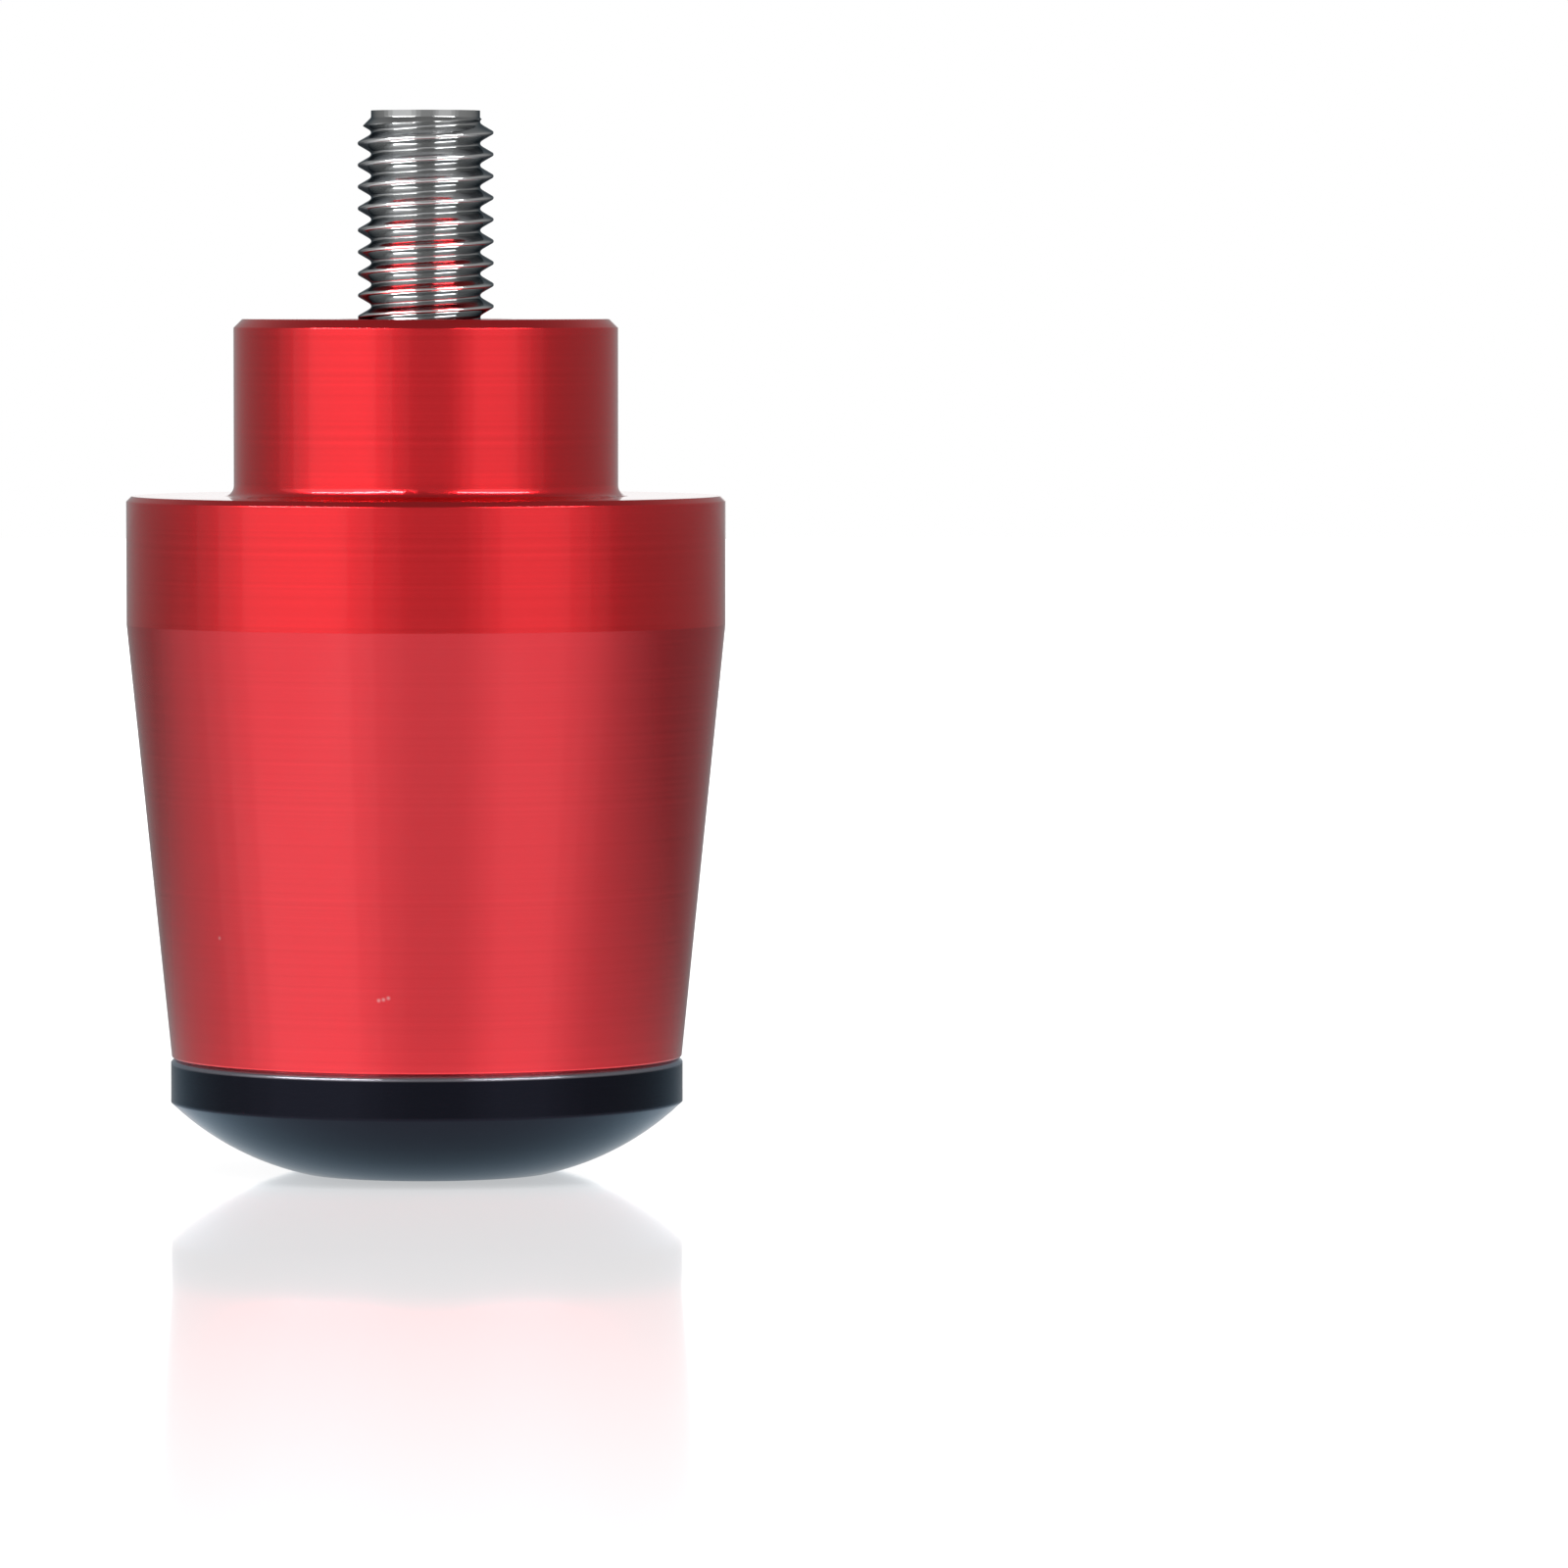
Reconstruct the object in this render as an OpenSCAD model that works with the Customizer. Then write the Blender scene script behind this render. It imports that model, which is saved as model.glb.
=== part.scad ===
// Bar end weight: a turned body that seats on the end of a handlebar, a crowned end cap, and the
// socket head screw that goes through both and into the thread inside the bar.
// The origin is the centre of the spigot's end face. +Z points along the screw, into the bar, and
// the rest hangs below the origin. Sizes are in millimetres.

/* [Spigot] */
// Diameter of the spigot, the same as the bar's outside
spigot_d = 22.2; // [20:0.1:25.4]
// Length of the spigot, which the end of the grip covers
spigot_len = 10.2; // [6:0.1:16]
// Chamfer round the spigot's end face
spigot_chamfer = 0.5; // [0.2:0.05:1]
// Fillet radius where the spigot meets the ledge
root_fillet = 0.6; // [0.2:0.05:1]

/* [Body] */
// Diameter of the straight part, which covers the end of the grip
flange_d = 34.6; // [31:0.1:40]
// Length of the straight part
flange_len = 7.4; // [4:0.1:14]
// Chamfer round the ledge
flange_chamfer = 0.3; // [0.1:0.05:0.8]
// Length of the tapered part
taper_len = 25.1; // [16:0.1:36]
// Diameter at the narrow end of the taper
taper_end_d = 29.5; // [26:0.1:31]
// Size of the broken edges at the narrow end
edge_break = 0.15; // [0.05:0.05:0.4]
// Chamfer at the mouth of the screw hole
hole_chamfer = 0.5; // [0.2:0.05:1]

/* [End cap] */
// Diameter of the cap
cap_d = 29.6; // [27:0.1:32]
// Length of the cap's straight edge
band_len = 2.5; // [1:0.1:5]
// Chamfer round the cap where it meets the body
cap_chamfer = 0.2; // [0.1:0.05:0.5]
// Radius of the crown's arc in section
crown_r = 16; // [14:0.5:22]
// Slope of the crown at its rim, in degrees
rim_slope = 44; // [36:1:50]
// Chamfer round the mouth of the head recess
mouth_chamfer = 0.4; // [0.2:0.05:0.8]
// Wall of the boss round the head recess
boss_wall = 2.5; // [1.5:0.1:3]
// How far past the joint the screw's head seats
seat_inset = 4.7; // [2:0.1:8]
// Thickness of the floor that the screw's head clamps
seat_floor = 3; // [2:0.1:6]

/* [Screw] */
// Nominal diameter of the thread
thread_d = 8; // [6:1:10]
// How far the thread stands out of the spigot
thread_reach = 12; // [6:0.5:24]
// Pitch of the thread
thread_pitch = 1.25; // [1:0.25:1.5]
// Length of the screw that is threaded, from its tip
thread_len = 28; // [26:1:44]
// Diameter of the head
head_d = 13; // [11:0.5:16]
// Height of the head
head_h = 8; // [6:0.5:9]
// Chamfer round the top of the head
head_chamfer = 0.6; // [0.2:0.1:1]
// Width across the flats of the hexagon socket
socket_af = 6; // [5:0.5:7]
// Depth of the hexagon socket
socket_depth = 4; // [3:0.5:5]
// Slope of the socket's pointed floor, in degrees
socket_floor_slope = 30; // [10:1:40]

/* [Clearances] */
// Gap all round the thread in its holes
hole_gap = 0.5; // [0.2:0.05:0.8]
// Gap all round the head in its recess
head_gap = 0.5; // [0.3:0.05:1]
// Gap all round the boss in the body
boss_gap = 0.1; // [0.05:0.01:0.2]
// Gap past the end of the boss
boss_end_gap = 0.3; // [0.1:0.05:1]

/* [Hidden] */
$fn = 180;
// What a cutting tool goes past the surface it cuts
over = 1;

// Heights of the turned steps, from the seat downwards
ledge_z = -spigot_len;
taper_z = ledge_z - flange_len;
joint_z = taper_z - taper_len;
rim_z = joint_z - band_len;

// The screw's head seats above the joint, inside the boss
seat_z = joint_z + seat_inset;
boss_z = seat_z + seat_floor;
head_z = seat_z - head_h;
recess_z = boss_z + boss_end_gap;

spigot_r = spigot_d / 2;
thread_r = thread_d / 2;
flange_r = flange_d / 2;
taper_end_r = taper_end_d / 2;
cap_r = cap_d / 2;
hole_r = thread_r + hole_gap;
head_recess_r = head_d / 2 + head_gap;
boss_r = head_recess_r + boss_wall;
boss_recess_r = boss_r + boss_gap;

// Proportions of a metric thread: its groove's depth, and its radius where ridge and groove are equal
thread_depth = 0.6134 * thread_pitch;
pitch_r = thread_r - 0.3248 * thread_pitch;
thread_start_z = thread_reach - thread_len;

// The crown is an arc that meets the rim at its slope. Its centre lies off the axis.
crown_x = cap_r - crown_r * sin(rim_slope);
crown_z = rim_z + crown_r * cos(rim_slope);
crown_tip_z = crown_z - crown_r;
mouth_z = crown_z - sqrt(pow(crown_r, 2) - pow(head_recess_r - crown_x, 2));

// Half section of the body. The corner at the ledge is filled, and the fillet's circle cut from it.
module body_section() {
    difference() {
        polygon([
            [hole_r, -hole_chamfer],
            [hole_r + hole_chamfer, 0],
            [spigot_r - spigot_chamfer, 0],
            [spigot_r, -spigot_chamfer],
            [spigot_r, ledge_z + root_fillet],
            [spigot_r + root_fillet, ledge_z],
            [flange_r - flange_chamfer, ledge_z],
            [flange_r, ledge_z - flange_chamfer],
            [flange_r, taper_z],
            [taper_end_r, joint_z + edge_break],
            [taper_end_r - edge_break, joint_z],
            [boss_recess_r + edge_break, joint_z],
            [boss_recess_r, joint_z + edge_break],
            [boss_recess_r, recess_z],
            [hole_r, recess_z],
        ]);
        translate([spigot_r + root_fillet, ledge_z + root_fillet]) circle(root_fillet);
    }
}

// Half section of the cap above its rim: the boss, the floor that the head clamps, and the edge
module boss_section() {
    polygon([
        [hole_r, seat_z],
        [hole_r, boss_z],
        [boss_r - edge_break, boss_z],
        [boss_r, boss_z - edge_break],
        [boss_r, joint_z],
        [cap_r - cap_chamfer, joint_z],
        [cap_r, joint_z - cap_chamfer],
        [cap_r, rim_z],
        [head_recess_r, rim_z],
        [head_recess_r, seat_z],
    ]);
}

// Half section of the crown, which overlaps the edge above it, with the chamfer round its mouth
module crown_section() {
    difference() {
        intersection() {
            translate([crown_x, crown_z]) circle(crown_r);
            translate([head_recess_r, crown_tip_z - over])
                square([cap_r - head_recess_r, rim_z + band_len / 2 - crown_tip_z + over]);
        }
        polygon([
            [head_recess_r - over, mouth_z + mouth_chamfer + over],
            [head_recess_r + mouth_chamfer + over, mouth_z - over],
            [head_recess_r - over, mouth_z - over],
        ]);
    }
}

module body() {
    color("#cb3c43") rotate_extrude() body_section();
}

module end_cap() {
    color("#1d1b22") {
        rotate_extrude() boss_section();
        rotate_extrude() crown_section();
    }
}

// Past the seat the thread is its plain outside form, with the tip chamfered to the groove's depth.
// Inside the body it is as thick as half way up its ridges, and the plain shank follows.
module shank() {
    translate([0, 0, thread_reach - thread_depth])
        cylinder(r1 = thread_r, r2 = thread_r - thread_depth, h = thread_depth);
    cylinder(r = thread_r, h = thread_reach - thread_depth);
    translate([0, 0, thread_start_z]) cylinder(r = pitch_r, h = -thread_start_z);
    translate([0, 0, seat_z]) cylinder(r = thread_r, h = thread_start_z - seat_z);
}

module head() {
    translate([0, 0, head_z + head_chamfer])
        cylinder(d = head_d, h = head_h - head_chamfer);
    translate([0, 0, head_z])
        cylinder(d1 = head_d - 2 * head_chamfer, d2 = head_d, h = head_chamfer);
}

// The hexagon socket, with its pointed floor and the lead-in round its corners
module socket() {
    corner_r = socket_af / 2 / cos(30);
    floor_z = head_z + socket_depth;
    translate([0, 0, head_z - over])
        cylinder(r = corner_r, h = socket_depth + over, $fn = 6);
    translate([0, 0, floor_z])
        cylinder(r1 = socket_af / 2, r2 = 0, h = socket_af / 2 * tan(socket_floor_slope));
    translate([0, 0, head_z - over])
        cylinder(r1 = corner_r + over, r2 = socket_af / 2, h = corner_r + over - socket_af / 2);
}

module screw() {
    color("#b9b6b8") difference() {
        union() {
            shank();
            head();
        }
        socket();
    }
}

body();
end_cap();
screw();
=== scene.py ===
# %% [markdown]
# # Bar end weight, dressed
#
# This lesson takes a bar end weight from plain solids to a finished picture. The real object is
# three pieces: a turned aluminium body dyed red, a turned aluminium cap dyed black, and a stainless
# screw through both. The solids come from the frame at their true size and stay where they are. What
# is added here is the finish of each surface, and the screw's real thread, which the solids leave out.

# %% Load the frame
import math

import bmesh
import bpy
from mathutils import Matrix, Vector


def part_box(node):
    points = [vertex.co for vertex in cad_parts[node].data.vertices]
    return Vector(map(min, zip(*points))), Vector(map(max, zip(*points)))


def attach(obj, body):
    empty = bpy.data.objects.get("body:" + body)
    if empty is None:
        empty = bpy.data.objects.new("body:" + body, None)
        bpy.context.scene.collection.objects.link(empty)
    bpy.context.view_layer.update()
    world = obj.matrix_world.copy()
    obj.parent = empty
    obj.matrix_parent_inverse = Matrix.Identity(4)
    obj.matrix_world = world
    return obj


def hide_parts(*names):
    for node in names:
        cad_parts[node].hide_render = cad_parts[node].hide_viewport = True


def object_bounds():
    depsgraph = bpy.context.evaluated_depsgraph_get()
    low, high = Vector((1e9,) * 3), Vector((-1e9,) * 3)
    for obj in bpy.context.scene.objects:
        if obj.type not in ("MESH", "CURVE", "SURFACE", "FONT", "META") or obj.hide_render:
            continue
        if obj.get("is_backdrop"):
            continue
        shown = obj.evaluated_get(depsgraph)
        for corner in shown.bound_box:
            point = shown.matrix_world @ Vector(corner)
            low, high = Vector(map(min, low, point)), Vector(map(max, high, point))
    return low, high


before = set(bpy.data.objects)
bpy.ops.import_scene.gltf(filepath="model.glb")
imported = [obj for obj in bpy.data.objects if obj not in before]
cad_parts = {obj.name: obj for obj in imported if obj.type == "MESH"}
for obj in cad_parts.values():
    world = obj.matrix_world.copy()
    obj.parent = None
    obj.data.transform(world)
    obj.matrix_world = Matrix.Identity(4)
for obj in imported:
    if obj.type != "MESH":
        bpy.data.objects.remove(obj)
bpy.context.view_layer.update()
MM = 0.001

for name in sorted(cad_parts):
    low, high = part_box(name)
    across = (high.x - low.x) / MM
    print(f"{name}: z {low.z / MM:.2f} to {high.z / MM:.2f} mm, {across:.2f} mm across")

# %% [markdown]
# ## The sizes that the finishes need
#
# Everything that can be measured on the solids is measured, so that a changed part carries its
# finish along. The seat is the plane where the spigot meets the handlebar, at height zero. Only the
# proportions of a standard M8 socket screw, which the plain solid doesn't show, are written out.

# %% Sizes, from the frame and from the screw's standard
body_low, body_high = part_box("body")
cap_low, cap_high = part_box("end_cap")
screw_low, screw_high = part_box("screw")

SEAT_Z = body_high.z
JOINT_Z = body_low.z
TABLE_Z = cap_low.z
TIP_Z = screw_high.z
HEAD_Z = screw_low.z
HEAD_R = screw_high.x

SCREW_R = 4 * MM
THREAD_PITCH = 1.25 * MM
THREAD_LENGTH = 28 * MM
HEAD_HEIGHT = 8 * MM
HEAD_CHAMFER = 0.6 * MM
SOCKET_FLATS = 6 * MM
SOCKET_DEPTH = 4 * MM
SOCKET_FLOOR_SLOPE = math.radians(30)
print(f"the thread stands {(TIP_Z - SEAT_Z) / MM:.2f} mm out of the seat")

# %% [markdown]
# ## Two small helpers for nodes
#
# A colour picked from a picture is written as an sRGB hex value, while the shaders work in linear
# light. One function turns the first into the second, so no colour is converted by hand. The other
# helper adds one node with its settings and links in a single call, for shaders and geometry alike,
# which keeps each recipe short enough to read at a glance.

# %% Colour and node helpers
def linear(hex_colour):
    """An sRGB hex colour as linear red, green, blue and alpha."""
    channels = [int(hex_colour[i : i + 2], 16) / 255 for i in (1, 3, 5)]
    return *[c / 12.92 if c <= 0.04045 else ((c + 0.055) / 1.055) ** 2.4 for c in channels], 1.0


def add(tree, kind, inputs=None, **settings):
    """Adds one node. An input is given by its name or number, as a value or as a socket to link."""
    node = tree.nodes.new(kind)
    for key, value in settings.items():
        setattr(node, key, value)
    for key, value in (inputs or {}).items():
        if isinstance(value, bpy.types.NodeSocket):
            tree.links.new(value, node.inputs[key])
        else:
            node.inputs[key].default_value = value
    return node


# %% [markdown]
# ## The thread as a rule
#
# A rolled thread is one ridge that winds up the shank, rising one pitch each turn. Screwing a curve
# round by hand leaves an open seam and square ends, so the thread is made from a flat grid in
# Geometry Nodes instead. One side of the grid counts the turns, the other crosses a single ridge
# from root to root. Each point is then wound round the axis by the turns and lifted by both, and the
# edge of each turn lands on the next one, where Merge by Distance closes it. The ridge is the ISO
# metric one: sixty degrees between its flanks, a narrow crest and a rounded root. The tip is a short
# plain neck, and a cone of forty-five degrees leads from it to the full thread, as on a real screw.
# The same neck and cone end the thread at the shank.

# %% Thread sizes
# The groove's depth and the crest's flat as shares of the pitch, from the metric thread's standard
DEPTH_SHARE = 0.6134
CREST_SHARE = 0.125
FLANK_ANGLE = math.radians(30)
# A rolled thread measures a little less across its crests than its nominal size
CREST_PLAY = 0.08 * MM
THREAD_CREST_R = SCREW_R - CREST_PLAY
THREAD_DEPTH = DEPTH_SHARE * THREAD_PITCH
# The neck lies this far inside the nominal size, just under the roots
NECK_INSET = 0.85 * MM
THREAD_TIP_R = SCREW_R - NECK_INSET
NECK_LENGTH = 0.4 * MM
THREAD_START_Z = TIP_Z - THREAD_LENGTH
# Where the helix begins below the thread, in turns, which sets the side that the crests face
THREAD_PHASE = 1.12
THREAD_TURNS = math.ceil(THREAD_LENGTH / THREAD_PITCH + THREAD_PHASE)
# Where, across half a ridge, its flank would reach the root
FLANK_SHARE = CREST_SHARE + 2 * DEPTH_SHARE * math.tan(FLANK_ANGLE)
# How softly crest and root turn into the flanks, as a share of the ridge's height
CREST_ROUNDING = 0.15
ROOT_ROUNDING = 0.35
# Points round one turn, and rows across one ridge
TURN_POINTS = 96
RIDGE_ROWS = 24
# Points nearer than this are one point
SAME_POINT = 0.002 * MM
print(f"the ridge stands {THREAD_DEPTH / MM:.2f} mm high and makes {THREAD_TURNS} turns")


# %% Thread rule
# Each row is one sum: its name, its operation, and its inputs. An input is a number, the name of a
# row above, or one of the tree's inputs. Along and Across run from -0.5 to 0.5 over the flat grid.
RIDGE_SLOPE = 1 / (CREST_SHARE - FLANK_SHARE)
THREAD_RULE = (
    ("columns", "MULTIPLY_ADD", "Turns", "Turn Points", 1.0),
    ("rows", "ADD", "Ridge Rows", 1.0),
    ("share of length", "ADD", "Along", 0.5),
    ("turned", "MULTIPLY", "share of length", "Turns"),
    ("share of ridge", "ADD", "Across", 0.5),
    ("risen", "ADD", "turned", "share of ridge"),
    ("free height", "MULTIPLY_ADD", "risen", "Pitch", "Start"),
    ("above low", "MAXIMUM", "free height", "Low"),
    ("height", "MINIMUM", "above low", "High"),
    ("half ridge", "ABSOLUTE", "Across"),
    ("from crest", "MULTIPLY", "half ridge", 2.0),
    ("sharp ridge", "MULTIPLY_ADD", "from crest", RIDGE_SLOPE, -FLANK_SHARE * RIDGE_SLOPE),
    ("crested ridge", "SMOOTH_MIN", "sharp ridge", 1.0, CREST_ROUNDING),
    ("ridge", "SMOOTH_MAX", "crested ridge", 0.0, ROOT_ROUNDING),
    ("root radius", "SUBTRACT", "Crest Radius", "Depth"),
    ("full radius", "MULTIPLY_ADD", "ridge", "Depth", "root radius"),
    ("to tip", "SUBTRACT", "High", "height"),
    ("to shank", "SUBTRACT", "height", "Low"),
    ("to end", "MINIMUM", "to tip", "to shank"),
    ("past neck", "SUBTRACT", "to end", "Neck Length"),
    ("up the cone", "MAXIMUM", "past neck", 0.0),
    ("cone radius", "ADD", "up the cone", "Tip Radius"),
    ("radius", "MINIMUM", "full radius", "cone radius"),
    ("angle", "MULTIPLY", "turned", math.tau),
    ("cosine", "COSINE", "angle"),
    ("sine", "SINE", "angle"),
    ("x", "MULTIPLY", "radius", "cosine"),
    ("y", "MULTIPLY", "radius", "sine"),
)
LENGTH_INPUTS = ("Pitch", "Crest Radius", "Depth", "Tip Radius", "Neck Length", "Low", "High", "Start")
COUNT_INPUTS = ("Turns", "Turn Points", "Ridge Rows")


# %% Thread generator
def thread_generator():
    """A Geometry Nodes tree that winds a grid into a threaded rod, closed at its tip."""
    tree = bpy.data.node_groups.new("metric_thread", "GeometryNodeTree")
    tree.interface.new_socket("Thread", in_out="OUTPUT", socket_type="NodeSocketGeometry")
    for name in LENGTH_INPUTS:
        tree.interface.new_socket(name, in_out="INPUT", socket_type="NodeSocketFloat")
    for name in COUNT_INPUTS:
        tree.interface.new_socket(name, in_out="INPUT", socket_type="NodeSocketInt")
    tree.interface.new_socket("Material", in_out="INPUT", socket_type="NodeSocketMaterial")

    values = {socket.name: socket for socket in add(tree, "NodeGroupInput").outputs if socket.name}
    position = add(tree, "GeometryNodeInputPosition").outputs["Position"]
    flat = add(tree, "ShaderNodeSeparateXYZ", {0: position}).outputs
    values |= {"Along": flat["X"], "Across": flat["Y"]}
    for name, operation, *inputs in THREAD_RULE:
        sockets = {number: values.get(value, value) for number, value in enumerate(inputs)}
        values[name] = add(tree, "ShaderNodeMath", sockets, operation=operation).outputs[0]

    counts = {"Vertices X": values["columns"], "Vertices Y": values["rows"]}
    grid = add(tree, "GeometryNodeMeshGrid", {"Size X": 1.0, "Size Y": 1.0, **counts}).outputs["Mesh"]
    place = {"X": values["x"], "Y": values["y"], "Z": values["height"]}
    place = add(tree, "ShaderNodeCombineXYZ", place).outputs[0]
    wound = add(tree, "GeometryNodeSetPosition", {"Geometry": grid, "Position": place})

    circle = {"Vertices": values["Turn Points"], "Radius": values["Tip Radius"]}
    disc = add(tree, "GeometryNodeMeshCircle", circle, fill_type="NGON").outputs["Mesh"]
    tip = add(tree, "ShaderNodeCombineXYZ", {"Z": values["High"]}).outputs[0]
    lid = add(tree, "GeometryNodeTransform", {"Geometry": disc, "Translation": tip})
    both = add(tree, "GeometryNodeJoinGeometry", {"Geometry": wound.outputs[0]})
    tree.links.new(lid.outputs[0], both.inputs[0])
    seam = {"Geometry": both.outputs[0], "Distance": SAME_POINT}
    closed = add(tree, "GeometryNodeMergeByDistance", seam)
    real = add(tree, "GeometryNodeRealizeInstances", {"Geometry": closed.outputs[0]})
    steel = {"Geometry": real.outputs[0], "Material": values["Material"]}
    painted = add(tree, "GeometryNodeSetMaterial", steel)
    add(tree, "NodeGroupOutput", {"Thread": painted.outputs[0]})
    print(f"thread tree: {len(tree.nodes)} nodes, {len(THREAD_RULE)} of them sums")
    return tree


def run_generator(tree, values):
    """Runs a Geometry Nodes tree on an empty object and returns its result as a plain mesh."""
    holder = bpy.data.objects.new(tree.name, bpy.data.meshes.new(tree.name))
    bpy.context.collection.objects.link(holder)
    modifier = holder.modifiers.new(tree.name, "NODES")
    modifier.node_group = tree
    for item in tree.interface.items_tree:
        if item.item_type == "SOCKET" and item.in_out == "INPUT":
            modifier[item.identifier] = values[item.name]
    evaluated = holder.evaluated_get(bpy.context.evaluated_depsgraph_get())
    mesh = bpy.data.meshes.new_from_object(evaluated)
    bpy.data.objects.remove(holder)
    return mesh


# %% [markdown]
# ## Turning marks
#
# A lathe's tool leaves a fine groove that winds round the piece, and anodising keeps it. The marks
# run round the axis, so they depend on two things only: the height, and the distance from the axis.
# Their sum changes steadily along walls, tapers, faces and the crown alike, so one pattern follows
# the whole turned form. It is a one-dimensional noise, because real marks aren't evenly deep.

# %% Turning marks as a height pattern
# A turned edge is never quite sharp, and its tiny round catches the light
BROKEN_EDGE = 0.12 * MM
# How many rays find the round at each point
BROKEN_EDGE_SAMPLES = 8
# How deep the marks are
MARK_DEPTH = 0.002 * MM


def new_material(name):
    """An empty material, with its tree and a Principled shader that reaches the output."""
    material = bpy.data.materials.new(name)
    material.use_nodes = True
    tree = material.node_tree
    tree.nodes.clear()
    shader = add(tree, "ShaderNodeBsdfPrincipled")
    add(tree, "ShaderNodeOutputMaterial", {"Surface": shader.outputs["BSDF"]})
    return material, tree, shader


def turned_coordinate(tree):
    """The sum of the height and the distance from the axis, in millimetres, as a socket."""
    place = add(tree, "ShaderNodeTexCoord").outputs["Object"]
    parts = add(tree, "ShaderNodeSeparateXYZ", {0: place})
    flat = add(tree, "ShaderNodeCombineXYZ", {"X": parts.outputs["X"], "Y": parts.outputs["Y"]})
    radius = add(tree, "ShaderNodeVectorMath", {0: flat.outputs[0]}, operation="LENGTH")
    total = add(tree, "ShaderNodeMath", {0: radius.outputs["Value"], 1: parts.outputs["Z"]})
    return add(tree, "ShaderNodeMath", {0: total.outputs[0], 1: 1 / MM}, operation="MULTIPLY").outputs[0]


def turning_marks(tree, spacing_mm):
    """A noise that winds round the axis with about that spacing, from 0 to 1, as a socket."""
    noise = add(
        tree,
        "ShaderNodeTexNoise",
        {"W": turned_coordinate(tree), "Scale": 1 / spacing_mm, "Detail": 3.0, "Roughness": 0.6},
        noise_dimensions="1D",
    )
    return noise.outputs["Fac"]


# %% [markdown]
# ## Red anodised aluminium
#
# The body is aluminium with its oxide grown thick and dyed, then sealed. The dye lies over bare
# metal, so the colour comes from light that went through it to the metal and back: a deep red that
# stays red in its highlights. The clear, sealed skin adds its own faint white reflection, strongest
# at the edges, where the body fades to grey. A metallic Principled shader with a clear coat gives
# both. The grooves run round the axis and spread a reflection up and down but hardly sideways, so
# the anisotropy's tangent, which the Tangent node lays round the axis, is turned a quarter.
#
# Two more things are added to this body. The taper is painted a tone paler than the walls above
# it, a painted reflection of the pale sheet that the taper leans towards, so the height picks the
# tint. And the taper's front has a tiny dent and a short scratch, where the dyed skin is gone and
# bare metal shows.

# %% Red anodised finish
# The marks are about 0.1 mm apart. That is too fine to show, so they are drawn at this spacing, in mm
RED_MARKS = 0.3
TAPER_LENGTH = 25.1 * MM
TAPER_TOP_Z = JOINT_Z + TAPER_LENGTH
# The first place is the dent, and the other three lie along the scratch, in mm
NICKS = (
    (-11.45, -10.47, -35.14),
    (-2.22, -15.03, -38.39),
    (-1.95, -15.07, -38.34),
    (-1.67, -15.1, -38.25),
)
NICK_RADIUS = 0.15
# Bare metal with a trace of the dye on it
NICK_TINT = "#f2a4a4"
# Each tint varies a little with the marks, between two colours
DEEP_RED = ("#e11620", "#f0232e")
# The taper's paler red is a painted reflection of the pale sheet, which the taper leans towards
PAINTED_REFLECTION_RED = ("#e22d36", "#ef3742")


def nicked(tree, place, tint):
    """The tint with bare aluminium at each nick, as a socket. The nicks' places are in millimetres."""
    place = add(tree, "ShaderNodeVectorMath", {0: place, "Scale": 1 / MM}, operation="SCALE").outputs[0]
    for nick in NICKS:
        away = {0: place, 1: nick}
        away = add(tree, "ShaderNodeVectorMath", away, operation="DISTANCE").outputs["Value"]
        bare = {"Value": away, "From Min": NICK_RADIUS, "From Max": 0.0}
        bare = add(tree, "ShaderNodeMapRange", bare).outputs["Result"]
        worn = {"Factor": bare, "A": tint, "B": linear(NICK_TINT)}
        tint = add(tree, "ShaderNodeMix", worn, data_type="RGBA").outputs["Result"]
    return tint


def red_tint_and_reflection(tree, marks):
    """The dye's tint on the walls, and on the taper a paler tint that is a painted reflection of the
    sheet, as a socket.
    """
    tones = []
    for darker, lighter in (DEEP_RED, PAINTED_REFLECTION_RED):
        dye = {"Factor": marks, "A": linear(darker), "B": linear(lighter)}
        tones.append(add(tree, "ShaderNodeMix", dye, data_type="RGBA").outputs["Result"])
    place = add(tree, "ShaderNodeTexCoord").outputs["Object"]
    height = add(tree, "ShaderNodeSeparateXYZ", {0: place}).outputs["Z"]
    # Below the taper's top, the paler tint paints in the sheet's reflection
    on_taper = {0: height, 1: TAPER_TOP_Z}
    on_taper = add(tree, "ShaderNodeMath", on_taper, operation="LESS_THAN").outputs[0]
    tint = {"Factor": on_taper, "A": tones[0], "B": tones[1]}
    tint = add(tree, "ShaderNodeMix", tint, data_type="RGBA").outputs["Result"]
    return nicked(tree, place, tint)


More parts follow.
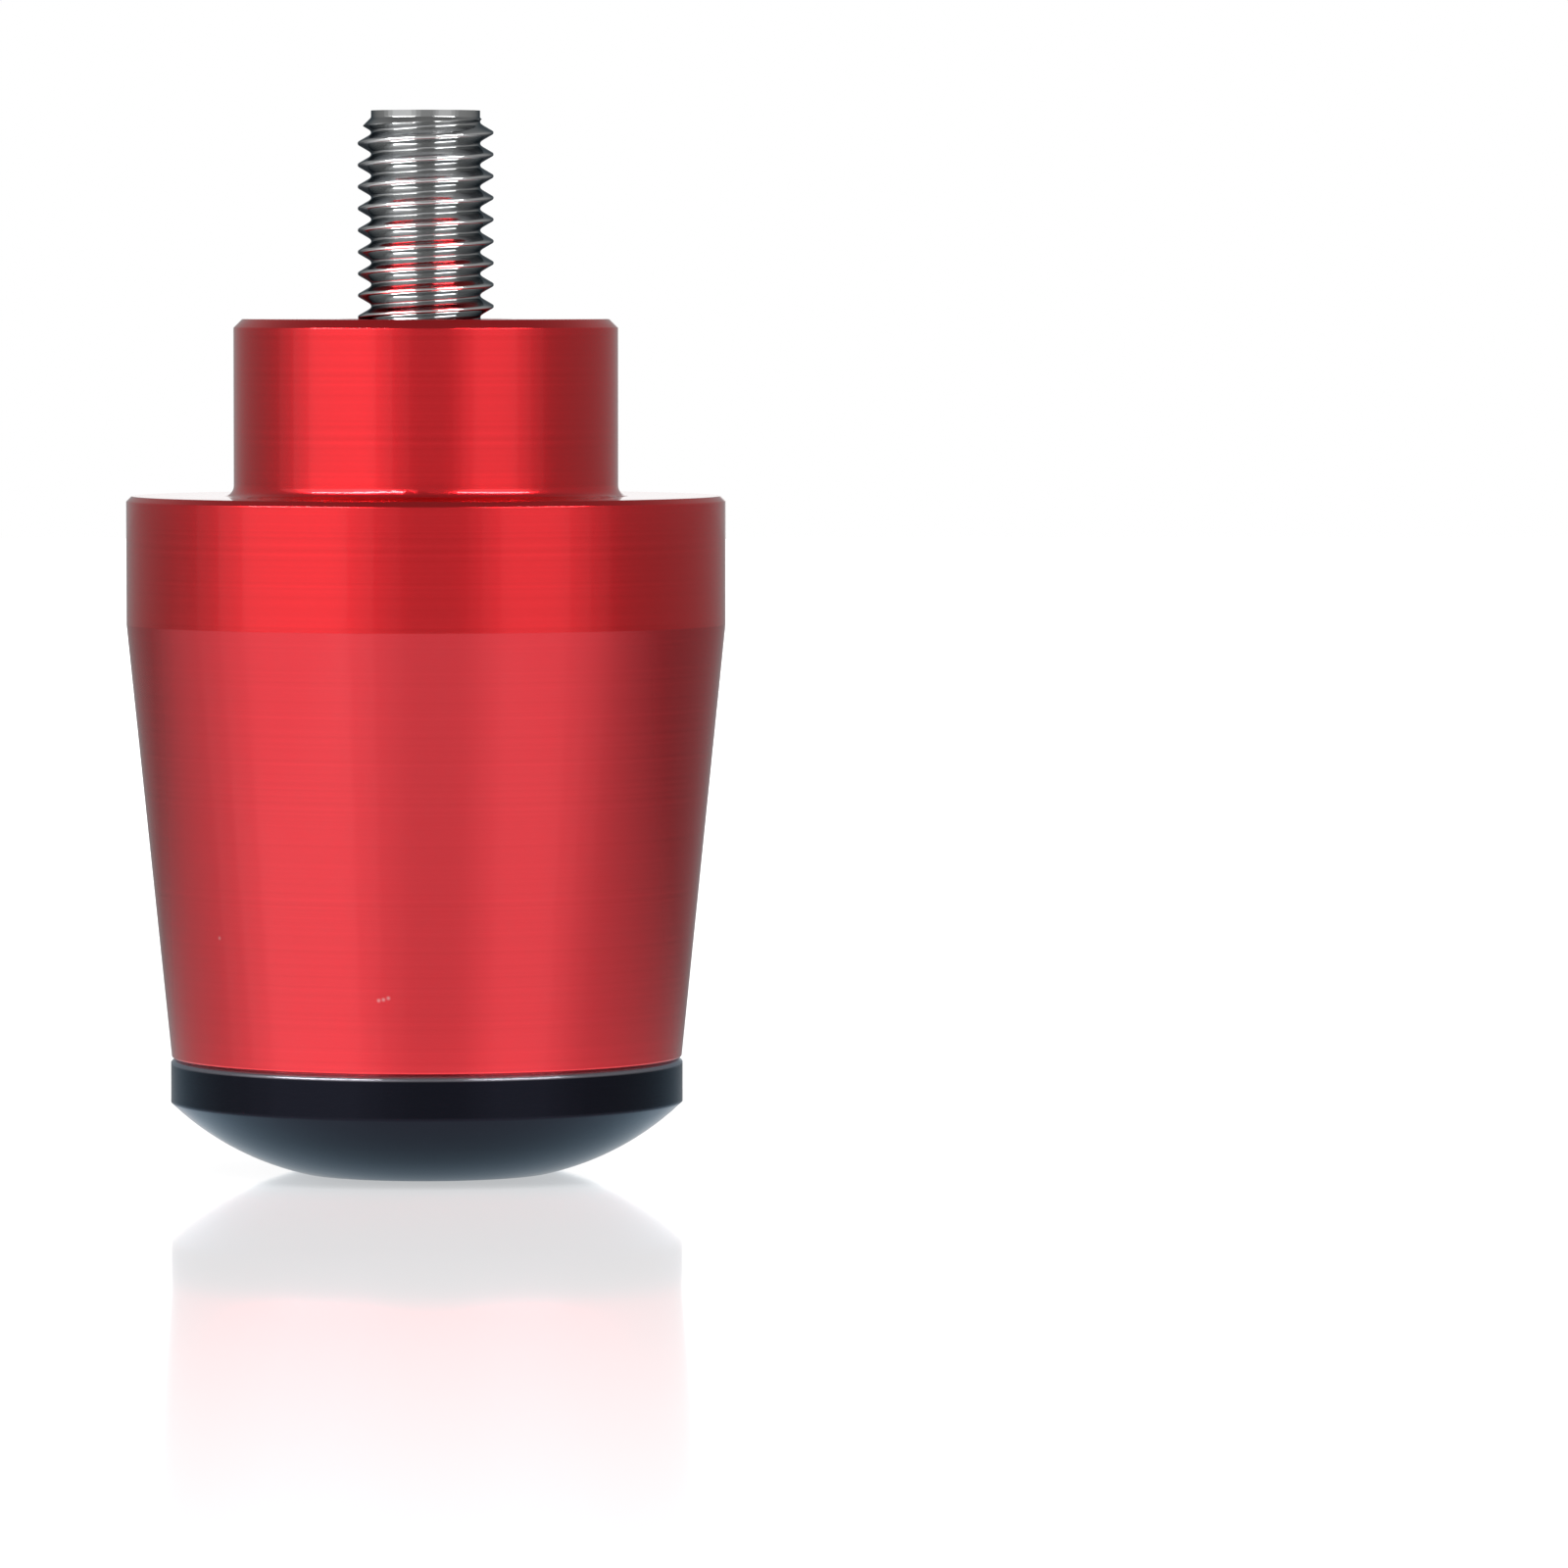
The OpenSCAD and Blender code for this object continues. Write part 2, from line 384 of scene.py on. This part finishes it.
def red_anodised():
    """Dyed metal under a clear skin. The red Specular Tint keeps the dye's colour at low angles."""
    material, tree, shader = new_material("red_anodised_aluminium")
    marks = turning_marks(tree, RED_MARKS)
    roughness = {"Value": marks, "To Min": 0.2, "To Max": 0.28}
    roughness = add(tree, "ShaderNodeMapRange", roughness).outputs["Result"]
    edges = {"Radius": BROKEN_EDGE}
    edges = add(tree, "ShaderNodeBevel", edges, samples=BROKEN_EDGE_SAMPLES).outputs[0]
    bump = {"Height": marks, "Distance": MARK_DEPTH, "Strength": 0.4, "Normal": edges}
    bump = add(tree, "ShaderNodeBump", bump).outputs["Normal"]
    tangent = add(tree, "ShaderNodeTangent", direction_type="RADIAL", axis="Z").outputs["Tangent"]
    tree.links.new(red_tint_and_reflection(tree, marks), shader.inputs["Base Color"])
    tree.links.new(roughness, shader.inputs["Roughness"])
    tree.links.new(bump, shader.inputs["Normal"])
    tree.links.new(edges, shader.inputs["Coat Normal"])
    tree.links.new(tangent, shader.inputs["Tangent"])
    shader.inputs["Metallic"].default_value = 1.0
    shader.inputs["Anisotropic"].default_value = 0.4
    shader.inputs["Anisotropic Rotation"].default_value = 0.25
    shader.inputs["Specular Tint"].default_value = linear("#ffcaca")
    shader.inputs["Coat Weight"].default_value = 1.0
    shader.inputs["Coat Roughness"].default_value = 0.05
    shader.inputs["Coat IOR"].default_value = 1.4
    print(f"red: marks {RED_MARKS} mm apart, paler below {TAPER_TOP_Z / MM:.1f} mm, {len(NICKS)} nicks")
    return material


# %% [markdown]
# ## Black anodised aluminium
#
# The cap is the same metal with a black dye, which lets almost nothing back. It is a metal with a
# nearly black, slightly cool colour: dark when it is looked at straight on, and as bright as its
# surroundings at a low angle, so the crown picks up the pale table along its lower edge. Where the
# cap meets the body, handling has rubbed its top edge, and the worn dye shows there as a fine paler
# line that catches the lamps.

# %% Black anodised finish
# The cap's marks hardly show on black, so they can be drawn near their real spacing, in mm
BLACK_MARKS = 0.12
# The cap's edges are rounder than the body's
SOFT_EDGE = 2 * BROKEN_EDGE
# How far down from the joint the cap's edge is rubbed, and where the rubbing has faded out
RUBBED_DOWN = 0.24 * MM
RUBBED_OUT = 0.34 * MM
BLACK_DYE = "#181822"
WORN_DYE = "#84828a"


def black_anodised():
    """Nearly black metal, smoother than the red and rounder at its edges, worn along the joint."""
    material, tree, shader = new_material("black_anodised_aluminium")
    marks = turning_marks(tree, BLACK_MARKS)
    roughness = {"Value": marks, "To Min": 0.12, "To Max": 0.2}
    roughness = add(tree, "ShaderNodeMapRange", roughness).outputs["Result"]
    edges = {"Radius": SOFT_EDGE}
    edges = add(tree, "ShaderNodeBevel", edges, samples=BROKEN_EDGE_SAMPLES).outputs[0]
    bump = {"Height": marks, "Distance": MARK_DEPTH, "Strength": 0.3, "Normal": edges}
    bump = add(tree, "ShaderNodeBump", bump).outputs["Normal"]
    place = add(tree, "ShaderNodeTexCoord").outputs["Object"]
    height = add(tree, "ShaderNodeSeparateXYZ", {0: place}).outputs["Z"]
    rubbed = {"Value": height, "From Min": JOINT_Z - RUBBED_OUT, "From Max": JOINT_Z - RUBBED_DOWN}
    rubbed = add(tree, "ShaderNodeMapRange", rubbed).outputs["Result"]
    tint = {"Factor": rubbed, "A": linear(BLACK_DYE), "B": linear(WORN_DYE)}
    tint = add(tree, "ShaderNodeMix", tint, data_type="RGBA").outputs["Result"]
    tree.links.new(tint, shader.inputs["Base Color"])
    tree.links.new(roughness, shader.inputs["Roughness"])
    tree.links.new(bump, shader.inputs["Normal"])
    shader.inputs["Metallic"].default_value = 0.85
    shader.inputs["Specular Tint"].default_value = linear("#dcf0ff")
    print(f"black: marks {BLACK_MARKS} mm apart, rubbed {RUBBED_DOWN / MM:.2f} mm down from the joint")
    return material


# %% [markdown]
# ## Stainless steel
#
# The screw is stainless steel, its thread rolled between hard dies. Its roots are painted darker
# than its crests, as painted shade in the grooves. That depends on the distance from the axis
# alone. A fine grain varies the gloss a little all over.

# %% Stainless finish
GRAIN_SIZE = 0.6 * MM
# The roots' steel is darker than the crests', as painted shade in the grooves
SHADED_ROOT_STEEL = "#b2b3b3"
CREST_STEEL = "#dfe0e0"


def bright_stainless():
    """Bright metal, with painted shade darkening the roots. The Specular Tint greys what shows at low
    angles.
    """
    material, tree, shader = new_material("bright_stainless_steel")
    place = add(tree, "ShaderNodeTexCoord").outputs["Object"]
    grain = {"Vector": place, "Scale": 1 / GRAIN_SIZE, "Detail": 3.0}
    grain = add(tree, "ShaderNodeTexNoise", grain).outputs["Fac"]
    axes = add(tree, "ShaderNodeSeparateXYZ", {0: place}).outputs
    flat = add(tree, "ShaderNodeCombineXYZ", {"X": axes["X"], "Y": axes["Y"]}).outputs[0]
    radius = add(tree, "ShaderNodeVectorMath", {0: flat}, operation="LENGTH").outputs["Value"]
    # From the roots' painted shade to the crests' steel, by the distance from the axis
    root_shade_blend = {"Value": radius, "From Min": THREAD_CREST_R - THREAD_DEPTH, "From Max": THREAD_CREST_R}
    root_shade_blend = add(tree, "ShaderNodeMapRange", root_shade_blend).outputs["Result"]
    tint = {"Factor": root_shade_blend, "A": linear(SHADED_ROOT_STEEL), "B": linear(CREST_STEEL)}
    tint = add(tree, "ShaderNodeMix", tint, data_type="RGBA").outputs["Result"]
    roughness = {"Value": grain, "To Min": 0.05, "To Max": 0.14}
    roughness = add(tree, "ShaderNodeMapRange", roughness).outputs["Result"]
    tree.links.new(tint, shader.inputs["Base Color"])
    tree.links.new(roughness, shader.inputs["Roughness"])
    shader.inputs["Metallic"].default_value = 1.0
    shader.inputs["Specular Tint"].default_value = linear("#7f8a92")
    print(f"steel: grain {GRAIN_SIZE / MM:.1f} mm, roots {THREAD_DEPTH / MM:.2f} mm below the crests")
    return material


# %% [markdown]
# ## Finishes onto the solids
#
# The body and the cap have the right shape already, so they keep their solids and only get a better
# material in their slot. The plain screw gets its steel too, although a threaded one replaces it.

# %% Finishes onto the solids
FINISHES = {"body": red_anodised(), "end_cap": black_anodised(), "screw": bright_stainless()}
for name, finish in FINISHES.items():
    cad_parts[name].material_slots[0].material = finish
    print(f"{name}: {finish.name}")

# %% [markdown]
# ## Shank, head and socket
#
# The rest of the screw is turned, apart from its hexagon socket. It is one stack of rings round the
# axis, joined by bands of faces. A ring's radius may change with the angle, so the same function
# makes the round shank and the six-sided socket. At the socket's mouth a cone cuts the corners of
# the hexagon, and where it meets each flat the ring dips in a curve, as it does on a real key socket.

# %% Rings round the axis
# Half the angle that one side of a hexagon spans
HALF_SIDE = math.radians(30)


def hexagon_radius(angle):
    """The distance from the axis to the wall of the hexagon socket, whose corners lie along X."""
    within_side = angle % (2 * HALF_SIDE) - HALF_SIDE
    return SOCKET_FLATS / 2 / math.cos(within_side)


def ring_points(ring, points):
    """One ring, given as a function of the angle that returns a radius and a height."""
    for step in range(points):
        angle = math.tau * step / points
        radius, height = ring(angle)
        yield radius * math.cos(angle), radius * math.sin(angle), height


def skin_rings(mesh, rings, points):
    """Adds rings to a mesh and joins each to the next. The last one closes on the axis."""
    rows = [[mesh.verts.new(place) for place in ring_points(ring, points)] for ring in rings[:-1]]
    for lower, upper in zip(rows, rows[1:]):
        for step in range(points):
            after = (step + 1) % points
            mesh.faces.new((lower[step], lower[after], upper[after], upper[step]))
    centre = mesh.verts.new((0, 0, rings[-1](0)[1]))
    for step in range(points):
        mesh.faces.new((rows[-1][step], rows[-1][(step + 1) % points], centre))


# %% The whole screw
# Faces that meet at more than this angle show an edge
EDGE_ANGLE = math.radians(40)


def screw_rings():
    """The rings from the thread's lower end, down the shank and head, and back up the socket."""
    seat = HEAD_Z + HEAD_HEIGHT
    corner = SOCKET_FLATS / 2 / math.cos(HALF_SIDE)
    floor = HEAD_Z + SOCKET_DEPTH
    point = floor + SOCKET_FLATS / 2 * math.tan(SOCKET_FLOOR_SLOPE)
    return [
        lambda a: (THREAD_TIP_R, THREAD_START_Z),
        lambda a: (SCREW_R, THREAD_START_Z),
        lambda a: (SCREW_R, seat),
        lambda a: (HEAD_R, seat),
        lambda a: (HEAD_R, HEAD_Z + HEAD_CHAMFER),
        lambda a: (HEAD_R - HEAD_CHAMFER, HEAD_Z),
        lambda a: (corner, HEAD_Z),
        lambda a: (hexagon_radius(a), HEAD_Z + corner - hexagon_radius(a)),
        lambda a: (hexagon_radius(a), floor),
        lambda a: (SOCKET_FLATS / 2, floor),
        lambda a: (0, point),
    ]


def cap_screw():
    """The threaded screw as one closed mesh."""
    sizes = {
        "Pitch": THREAD_PITCH,
        "Crest Radius": THREAD_CREST_R,
        "Depth": THREAD_DEPTH,
        "Tip Radius": THREAD_TIP_R,
        "Neck Length": NECK_LENGTH,
        "Low": THREAD_START_Z,
        "High": TIP_Z,
        "Start": THREAD_START_Z - THREAD_PHASE * THREAD_PITCH,
        "Turns": THREAD_TURNS,
        "Turn Points": TURN_POINTS,
        "Ridge Rows": RIDGE_ROWS,
        "Material": FINISHES["screw"],
    }
    mesh = run_generator(thread_generator(), sizes)
    work = bmesh.new()
    work.from_mesh(mesh)
    skin_rings(work, screw_rings(), TURN_POINTS)
    bmesh.ops.remove_doubles(work, verts=work.verts, dist=SAME_POINT)
    bmesh.ops.recalc_face_normals(work, faces=work.faces)
    open_edges = sum(1 for edge in work.edges if len(edge.link_faces) != 2)
    work.to_mesh(mesh)
    work.free()
    mesh.shade_smooth()
    mesh.set_sharp_from_angle(angle=EDGE_ANGLE)
    triangles = sum(len(face.vertices) - 2 for face in mesh.polygons)
    print(f"screw: {triangles} triangles, {open_edges} open edges")
    return bpy.data.objects.new("cap_screw", mesh)


screw = cap_screw()
bpy.context.collection.objects.link(screw)
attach(screw, "root")
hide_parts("screw")

# %% [markdown]
# ## Soft boxes
#
# Polished metal shows its surroundings, so the lamps are what gives it form. A product photographer
# stands large soft boxes left and right of the camera, with a dark gap between them. On the body they
# draw the two bright bands and the darker one between. A soft box fades towards its sides, so each is
# three panels of different widths, one over the other. Each also has a brighter upper part, which
# the table mirrors into the taper, because the taper leans towards the table.

# %% Soft boxes
BOX_DISTANCE = 0.9
BOX_MIDDLE = 0.13
BOX_TOP = 0.75
UPPER_GAIN = 2.6
BOX_PARTS = (("lower", TABLE_Z, BOX_MIDDLE, 1.0), ("upper", BOX_MIDDLE, BOX_TOP, UPPER_GAIN))
# Each panel has its name, the azimuth of its middle, half the angle that it spans, and its radiance
SOFT_BOXES = (
    ("left_wide", -52, 44, 0.14),
    ("left_middle", -51, 33, 0.24),
    ("left_core", -50, 22, 0.27),
    ("right_wide", 47, 29, 0.10),
    ("right_middle", 45, 22, 0.15),
    ("right_core", 44, 14, 0.20),
)


def lamp_panel(name, azimuth, distance, height, size, radiance, tilt=0.0):
    """A rectangular lamp that faces the axis. Azimuth 0 is the camera's side, and tilt leans it down.

    Its radiance is what a mirror would show of it, where 1 is white."""
    lamp = bpy.data.lights.new(name, "AREA")
    lamp.shape = "RECTANGLE"
    lamp.size, lamp.size_y = size
    lamp.energy = radiance * math.pi * lamp.size * lamp.size_y
    panel = bpy.data.objects.new(name, lamp)
    turn = math.radians(azimuth)
    panel.location = (distance * math.sin(turn), -distance * math.cos(turn), height)
    panel.rotation_euler = (math.radians(90 - tilt), 0, turn)
    panel.visible_camera = False
    bpy.context.collection.objects.link(panel)
    return panel


for name, azimuth, half_angle, radiance in SOFT_BOXES:
    width = 2 * BOX_DISTANCE * math.tan(math.radians(half_angle))
    for part, low, high, gain in BOX_PARTS:
        size = (width, high - low)
        lamp_panel(f"{name}_{part}", azimuth, BOX_DISTANCE, (low + high) / 2, size, gain * radiance)
    print(f"{name} soft box: {width:.2f} m wide, radiance {radiance}")

# %% [markdown]
# ## Strip lamps
#
# A fillet or a rounded edge faces every way from level to straight up, so it mirrors even a small
# lamp as a thin bright line. Two narrow, strong lamps hang in front, thirty-six degrees up. They put
# the white glints on the fillet, on the cap's edge and along the thread, again with a gap in the
# middle. Only their reflections are wanted, so they are left out of diffuse light. The walls face
# level and are smooth enough to hardly show them.

# %% Strip lamps
STRIP_DISTANCE = 0.64
STRIP_HEIGHT = 0.47
STRIP_TILT = 36
STRIP_WIDTH = 0.1
STRIP_RADIANCE = 20
STRIPS = (("left_strip", -50, 0.7), ("right_strip", 48, 0.6))
for name, azimuth, length in STRIPS:
    size = (length, STRIP_WIDTH)
    strip = lamp_panel(name, azimuth, STRIP_DISTANCE, STRIP_HEIGHT, size, STRIP_RADIANCE, STRIP_TILT)
    strip.visible_diffuse = False
    print(f"{name}: {length} m long, {azimuth} degrees round")

# %% [markdown]
# ## Sheet lamp
#
# The sheet under the object wants to be pale, but a lamp that is strong enough for that would wash
# out the dark bands on the metal. This one hangs over the front of the table and is left out of
# reflections, so it lights only what scatters light, which is the sheet and hardly anything else.

# %% Sheet lamp
FILL_DISTANCE = 0.45
FILL_HEIGHT = 0.7
FILL_TILT = 57
FILL_SIZE = (0.9, 0.5)
FILL_RADIANCE = 3.8
fill = lamp_panel("sheet_fill", 0, FILL_DISTANCE, FILL_HEIGHT, FILL_SIZE, FILL_RADIANCE, FILL_TILT)
fill.visible_glossy = False
print(f"sheet lamp: {FILL_SIZE[0]} by {FILL_SIZE[1]} m")

# %% [markdown]
# ## Room and backdrop
#
# The world has two jobs. As a light it is the dim room round the lamps, a little brighter on the
# camera's side than behind the object, and darker overhead. To the camera it is the white backdrop,
# and to metal that mirrors what is straight behind the object too. Light Path tells the kinds of ray
# apart, and the direction's own Y and Z tell where the backdrop and the ceiling are.

# %% World
# How bright the room is on the camera's side and behind the object, where 1 is white
ROOM_FRONT, ROOM_BEHIND = 0.44, 0.32
# The share of it that is left overhead
CEILING_SHARE = 0.6
# The ceiling begins, and has its full effect, where the direction's Z is over these
CEILING_FROM, CEILING_FULL = 0.5, 0.85
# The backdrop begins, and is fully white in mirrors, where the direction's Y is over these
BACKDROP_FROM, BACKDROP_FULL = 0.988, 0.998


def studio_world():
    """The dim room as a light, and the white backdrop for the camera and for mirrors."""
    world = bpy.data.worlds.new("studio")
    world.use_nodes = True
    tree = world.node_tree
    tree.nodes.clear()
    direction = add(tree, "ShaderNodeTexCoord").outputs["Generated"]
    axes = add(tree, "ShaderNodeSeparateXYZ", {0: direction}).outputs
    room = {"Value": axes["Y"], "From Min": -1.0, "From Max": 0.9}
    room |= {"To Min": ROOM_FRONT, "To Max": ROOM_BEHIND}
    room = add(tree, "ShaderNodeMapRange", room).outputs["Result"]
    ceiling = {"Value": axes["Z"], "From Min": CEILING_FROM, "From Max": CEILING_FULL}
    ceiling |= {"To Min": 1.0, "To Max": CEILING_SHARE}
    ceiling = add(tree, "ShaderNodeMapRange", ceiling).outputs["Result"]
    room = add(tree, "ShaderNodeMath", {0: room, 1: ceiling}, operation="MULTIPLY").outputs[0]
    backdrop = {"Value": axes["Y"], "From Min": BACKDROP_FROM, "From Max": BACKDROP_FULL}
    backdrop = add(tree, "ShaderNodeMapRange", backdrop).outputs["Result"]
    path = add(tree, "ShaderNodeLightPath").outputs
    mirrored = {0: path["Is Glossy Ray"], 1: backdrop}
    mirrored = add(tree, "ShaderNodeMath", mirrored, operation="MULTIPLY").outputs[0]
    seen = {0: path["Is Camera Ray"], 1: path["Is Transmission Ray"]}
    seen = add(tree, "ShaderNodeMath", seen, operation="MAXIMUM").outputs[0]
    white = add(tree, "ShaderNodeMath", {0: seen, 1: mirrored}, operation="MAXIMUM").outputs[0]
    strength = add(tree, "ShaderNodeMix", {"Factor": white, "A": room, "B": 1.0}, data_type="FLOAT")
    light = {"Color": linear("#ffffff"), "Strength": strength.outputs["Result"]}
    glow = add(tree, "ShaderNodeBackground", light)
    add(tree, "ShaderNodeOutputWorld", {"Surface": glow.outputs[0]})
    print(f"world: {len(tree.nodes)} nodes")
    return world


scene = bpy.context.scene
scene.world = studio_world()

# %% [markdown]
# ## Table
#
# The object stands on a smooth, pale sheet, which keeps its shadow and a soft reflection of it. To
# the camera the sheet has a lift of its own that brings it up to the white of the backdrop, fully so
# some way off, so there is no horizon. It adds no light to the object.
#
# The taper leans down and mirrors the sheet: the front of it in the taper's middle, and what lies
# behind the object at the taper's sides. So to every ray but the camera's own, the sheet goes from
# pale in front to grey behind and on the right, which keeps the taper's sides dark. The cap's crown
# mirrors the sheet right below it, so there its reflection shows a part of the lift too.

# %% Sheet material
# Each pair is a distance from the axis, in metres, and the lift there: first as the camera sees it,
# then as the crown mirrors it
LIFT_NEAR, LIFT_FAR = (0.05, 0.44), (0.5, 1.0)
UNDER_NEAR, UNDER_FAR = (0.024, 0.5), (0.04, 0.0)
# The sheet turns grey along this direction, between these two distances from the axis, in metres
GREY_WAY = (0.3, 1.0, 0.0)
GREY_FROM, GREY_AT = -0.02, 0.1
SHEET_PALE = "#dedee0"
SHEET_GREY = "#5c5c60"


def acrylic_sheet():
    """Smooth acrylic, grey behind the object in reflections and lifted to white for the camera."""
    material, tree, shader = new_material("white_acrylic_sheet")
    place = add(tree, "ShaderNodeTexCoord").outputs["Object"]
    parts = add(tree, "ShaderNodeSeparateXYZ", {0: place}).outputs
    flat = add(tree, "ShaderNodeCombineXYZ", {"X": parts["X"], "Y": parts["Y"]}).outputs[0]
    distance = add(tree, "ShaderNodeVectorMath", {0: flat}, operation="LENGTH").outputs["Value"]
    lifts = []
    for (near, low), (far, high) in ((LIFT_NEAR, LIFT_FAR), (UNDER_NEAR, UNDER_FAR)):
        lift = {"Value": distance, "From Min": near, "From Max": far, "To Min": low, "To Max": high}
        lifts.append(add(tree, "ShaderNodeMapRange", lift).outputs["Result"])
    path = add(tree, "ShaderNodeLightPath").outputs
    mirrored = {0: path["Is Glossy Ray"], 1: lifts[1]}
    mirrored = add(tree, "ShaderNodeMath", mirrored, operation="MULTIPLY").outputs[0]
    seen = {0: path["Is Camera Ray"], 1: lifts[0], 2: mirrored}
    seen = add(tree, "ShaderNodeMath", seen, operation="MULTIPLY_ADD").outputs[0]

    along = {0: place, 1: GREY_WAY}
    along = add(tree, "ShaderNodeVectorMath", along, operation="DOT_PRODUCT").outputs["Value"]
    behind = {"Value": along, "From Min": GREY_FROM, "From Max": GREY_AT}
    behind = add(tree, "ShaderNodeMapRange", behind).outputs["Result"]
    grade = {0: behind, 1: path["Is Camera Ray"]}
    grade = add(tree, "ShaderNodeMath", grade, operation="SUBTRACT", use_clamp=True).outputs[0]
    shade = {"Factor": grade, "A": linear(SHEET_PALE), "B": linear(SHEET_GREY)}
    shade = add(tree, "ShaderNodeMix", shade, data_type="RGBA").outputs["Result"]
    tree.links.new(shade, shader.inputs["Base Color"])
    tree.links.new(seen, shader.inputs["Emission Strength"])
    shader.inputs["Roughness"].default_value = 0.07
    shader.inputs["Emission Color"].default_value = linear("#ffffff")
    return material


# %% Table
TABLE_SIZE = 3.0


def table_top():
    """One square face, at the height where the cap stands."""
    mesh = bpy.data.meshes.new("table")
    half = TABLE_SIZE / 2
    corners = [(x * half, y * half, TABLE_Z) for x, y in ((-1, -1), (1, -1), (1, 1), (-1, 1))]
    mesh.from_pydata(corners, [], [(0, 1, 2, 3)])
    mesh.materials.append(acrylic_sheet())
    table = bpy.data.objects.new("table", mesh)
    bpy.context.collection.objects.link(table)
    print(f"table: {TABLE_SIZE} m square, at z {TABLE_Z / MM:.2f} mm")
    return table


table_top()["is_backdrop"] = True

# %% [markdown]
# ## Camera
#
# The camera looks from just above the seat's height, so the ledge shows as a thin ellipse and the
# joint curves down a little. Its distance follows from how much flatter the upper ellipse is than
# the lower one, and the lens from the width of the picture at the axis.

# %% Camera
VIEW_DISTANCE = 610.7 * MM
VIEW_HEIGHT = 2.2 * MM
VIEW_WIDTH = 90.65 * MM
VIEW_CENTRE = Vector((20.66 * MM, 0, -26.86 * MM))
camera = bpy.data.objects.new("camera", bpy.data.cameras.new("camera"))
bpy.context.collection.objects.link(camera)
camera.location = (VIEW_CENTRE.x, -VIEW_DISTANCE, VIEW_HEIGHT)
aim = VIEW_CENTRE - camera.location
camera.rotation_euler = aim.to_track_quat("-Z", "Y").to_euler()
camera.data.lens = camera.data.sensor_width * aim.length / VIEW_WIDTH
scene.camera = camera
scene.view_settings.view_transform = "Standard"
down = math.degrees(math.asin(-aim.z / aim.length))
print(f"lens {camera.data.lens:.1f} mm, looking {down:.1f} degrees down")

# %% The scene's bounds
low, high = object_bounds()
